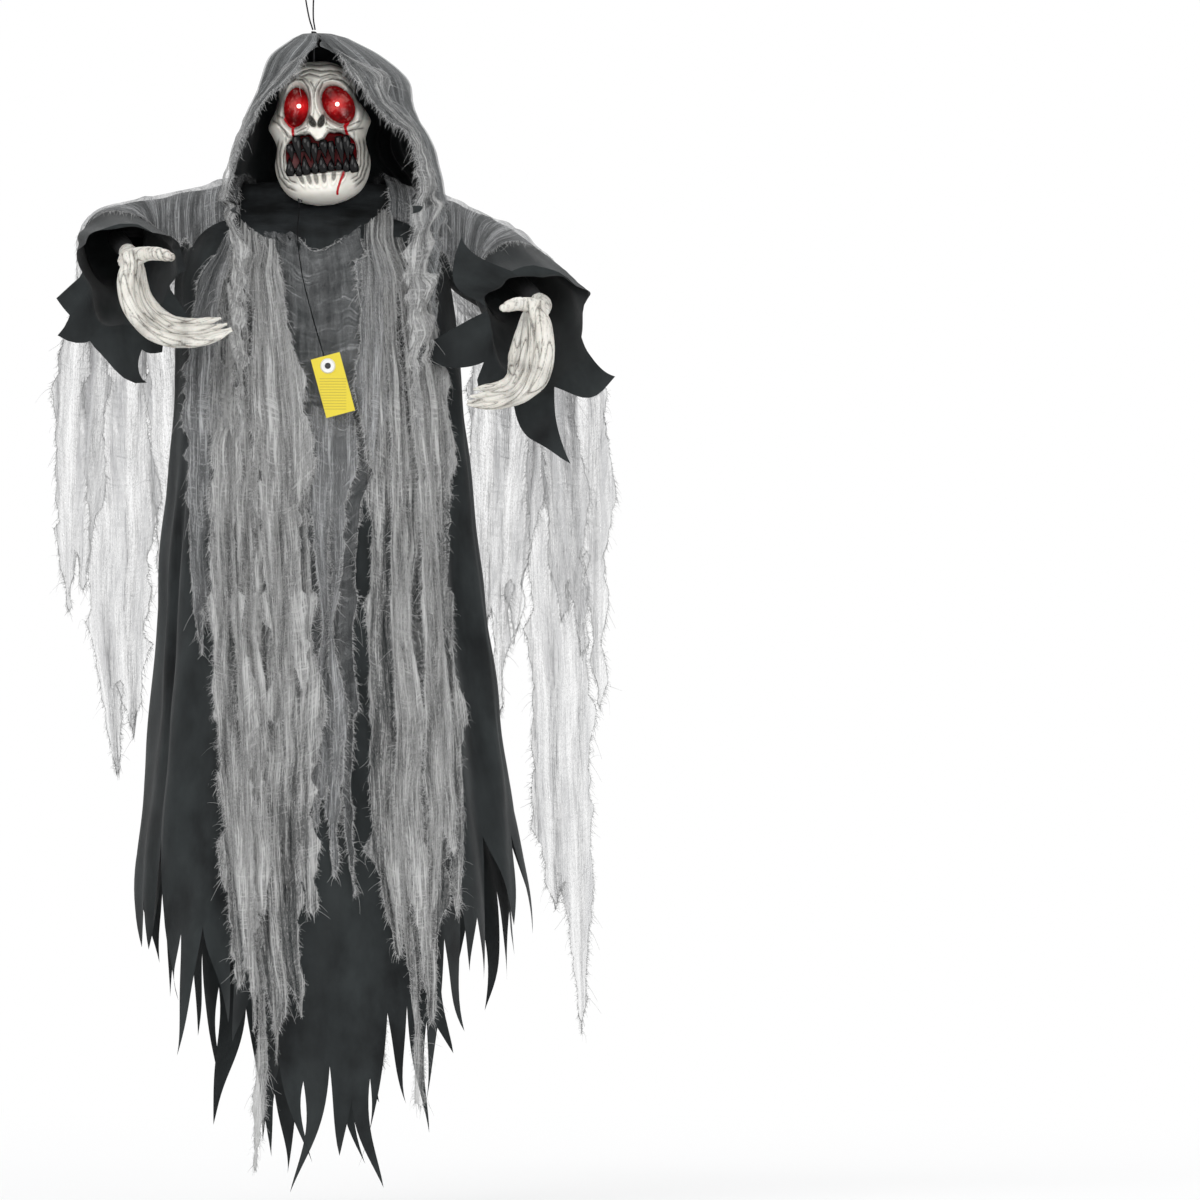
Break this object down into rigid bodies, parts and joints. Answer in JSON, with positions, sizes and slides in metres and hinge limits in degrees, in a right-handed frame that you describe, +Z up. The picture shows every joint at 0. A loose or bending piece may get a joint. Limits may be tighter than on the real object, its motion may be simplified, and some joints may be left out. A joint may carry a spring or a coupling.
{
  "type": "hanging party decoration",
  "caption": "Hanging hooded ghoul: moulded skull mask with red eyes, bendable arms with claw hands, long torn black robe, gray gauze and a card tag.",
  "frame": {"origin": "inside the top of the hanging loop, where a hook bears", "axes": "+Z up along the hanging figure, -Y out of its face, +X toward the figure's left hand"},
  "size_m": [0.7727, 0.4102, 1.69],
  "materials": {
    "cloth": "matt black woven polyester",
    "gauze": "gray crinkled gauze",
    "pale_gauze": "pale gray crinkled gauze",
    "bone": "bone-coloured moulded plastic, dark wash in the hollows",
    "red_lens": "clear red, glossy",
    "mouth_red": "dark red, glossy",
    "black_plastic": "glossy black",
    "box_plastic": "fine matt texture",
    "foam": "gray open-cell foam",
    "steel": "plain steel",
    "cell_sleeve": "plain printed film sleeve",
    "cord": "black twisted cord",
    "lead": "black insulation",
    "wire": "red insulation",
    "card": "yellow card",
    "bezel": "white plastic"
  },
  "bodies": {
    "figure": {"robe_body": "cloth", "hood_gauze": "gauze", "hood_lining": "cloth", "gauze_chest": "gauze", "gauze_front_right": "pale_gauze", "gauze_front_left": "pale_gauze", "gauze_side_left": "pale_gauze", "gauze_side_right": "gauze", "gauze_back_left": "gauze", "gauze_back_middle": "pale_gauze", "gauze_back_right": "gauze", "gauze_back_long": "pale_gauze", "mask_shell": "bone", "eye_bowl_left": "red_lens", "eye_bowl_right": "red_lens", "led_left": "red_lens", "led_right": "red_lens", "mouth_insert": "mouth_red", "teeth_upper": "black_plastic", "teeth_lower": "black_plastic", "head_block": "foam", "battery_box": "box_plastic", "battery_a": "cell_sleeve", "battery_b": "cell_sleeve", "led_wire_left": "wire", "led_wire_right": "wire", "loop_eye": "steel", "neck_rod": "steel", "shoulder_bar": "steel", "hang_loop": "cord", "loop_knot": "cord", "lead_collar": "black_plastic"},
    "left_arm": {"upper_arm_left": "foam", "sleeve_left": "cloth", "gauze_arm_left": "gauze", "strip_arm_left_outer": "pale_gauze", "strip_arm_left_long": "pale_gauze", "strip_arm_left_inner": "pale_gauze"},
    "left_forearm": {"forearm_left": "foam", "wrist_plug_left": "black_plastic", "cuff_left": "cloth"},
    "left_hand": {"hand_left": "bone"},
    "right_arm": {"upper_arm_right": "foam", "sleeve_right": "cloth", "gauze_arm_right": "gauze", "strip_arm_right_outer": "pale_gauze", "strip_arm_right_long": "pale_gauze", "strip_arm_right_inner": "pale_gauze"},
    "right_forearm": {"forearm_right": "foam", "wrist_plug_right": "black_plastic", "cuff_right": "cloth"},
    "right_hand": {"hand_right": "bone"},
    "tag": {"tag_lead": "lead", "tag_card": "card", "tag_bezel": "bezel", "button_body": "black_plastic"},
    "push_button": {"tag_button": "black_plastic"},
    "cover": {"battery_cover": "box_plastic"},
    "switch": {"switch_slider": "black_plastic"}
  },
  "joints": [
    {"name": "shoulder_left", "type": "hinge", "parent": "figure", "child": "left_arm", "pos_m": [0.105, 0.005, -0.325], "axis": [0, 0, 1], "range_deg": [-20, 12], "deforming": ["sleeve_left", "gauze_arm_left", "strip_arm_left_outer", "strip_arm_left_long", "strip_arm_left_inner"]},
    {"name": "elbow_left", "type": "hinge", "parent": "left_arm", "child": "left_forearm", "pos_m": [0.26208, 0.03788, -0.41085], "axis": [1, 0, 0], "range_deg": [-30, 15], "deforming": ["sleeve_left", "gauze_arm_left", "strip_arm_left_outer", "strip_arm_left_long", "strip_arm_left_inner"]},
    {"name": "wrist_left", "type": "hinge", "parent": "left_forearm", "child": "left_hand", "pos_m": [0.31212, -0.11393, -0.45922], "axis": [0.2997, -0.909, -0.2897], "range_deg": [-35, 35]},
    {"name": "shoulder_right", "type": "hinge", "parent": "figure", "child": "right_arm", "pos_m": [-0.105, 0.005, -0.325], "axis": [0, 0, 1], "range_deg": [-12, 20], "deforming": ["sleeve_right", "gauze_arm_right", "strip_arm_right_outer", "strip_arm_right_long", "strip_arm_right_inner"]},
    {"name": "elbow_right", "type": "hinge", "parent": "right_arm", "child": "right_forearm", "pos_m": [-0.27869, 0.04522, -0.36157], "axis": [1, 0, 0], "range_deg": [-30, 15], "deforming": ["sleeve_right", "gauze_arm_right", "strip_arm_right_outer", "strip_arm_right_long", "strip_arm_right_inner"]},
    {"name": "wrist_right", "type": "hinge", "parent": "right_forearm", "child": "right_hand", "pos_m": [-0.25359, -0.11711, -0.39169], "axis": [0.1503, -0.972, -0.1804], "range_deg": [-35, 35]},
    {"name": "tag_swing", "type": "hinge", "parent": "figure", "child": "tag", "pos_m": [-0.01946, -0.05676, -0.32137], "axis": [1, 0, 0], "range_deg": [-45, 0]},
    {"name": "button_press", "type": "slide", "parent": "tag", "child": "push_button", "axis": [0, 1, 0], "range_m": [0, 0.0012], "stiffness_N_per_m": 150},
    {"name": "cover_slide", "type": "slide", "parent": "figure", "child": "cover", "axis": [-0.0784, 0.0034, 0.9969], "range_m": [0, 0.03]},
    {"name": "switch_slide", "type": "slide", "parent": "figure", "child": "switch", "axis": [0.996, -0.0435, 0.0785], "range_m": [0, 0.004]}
  ]
}
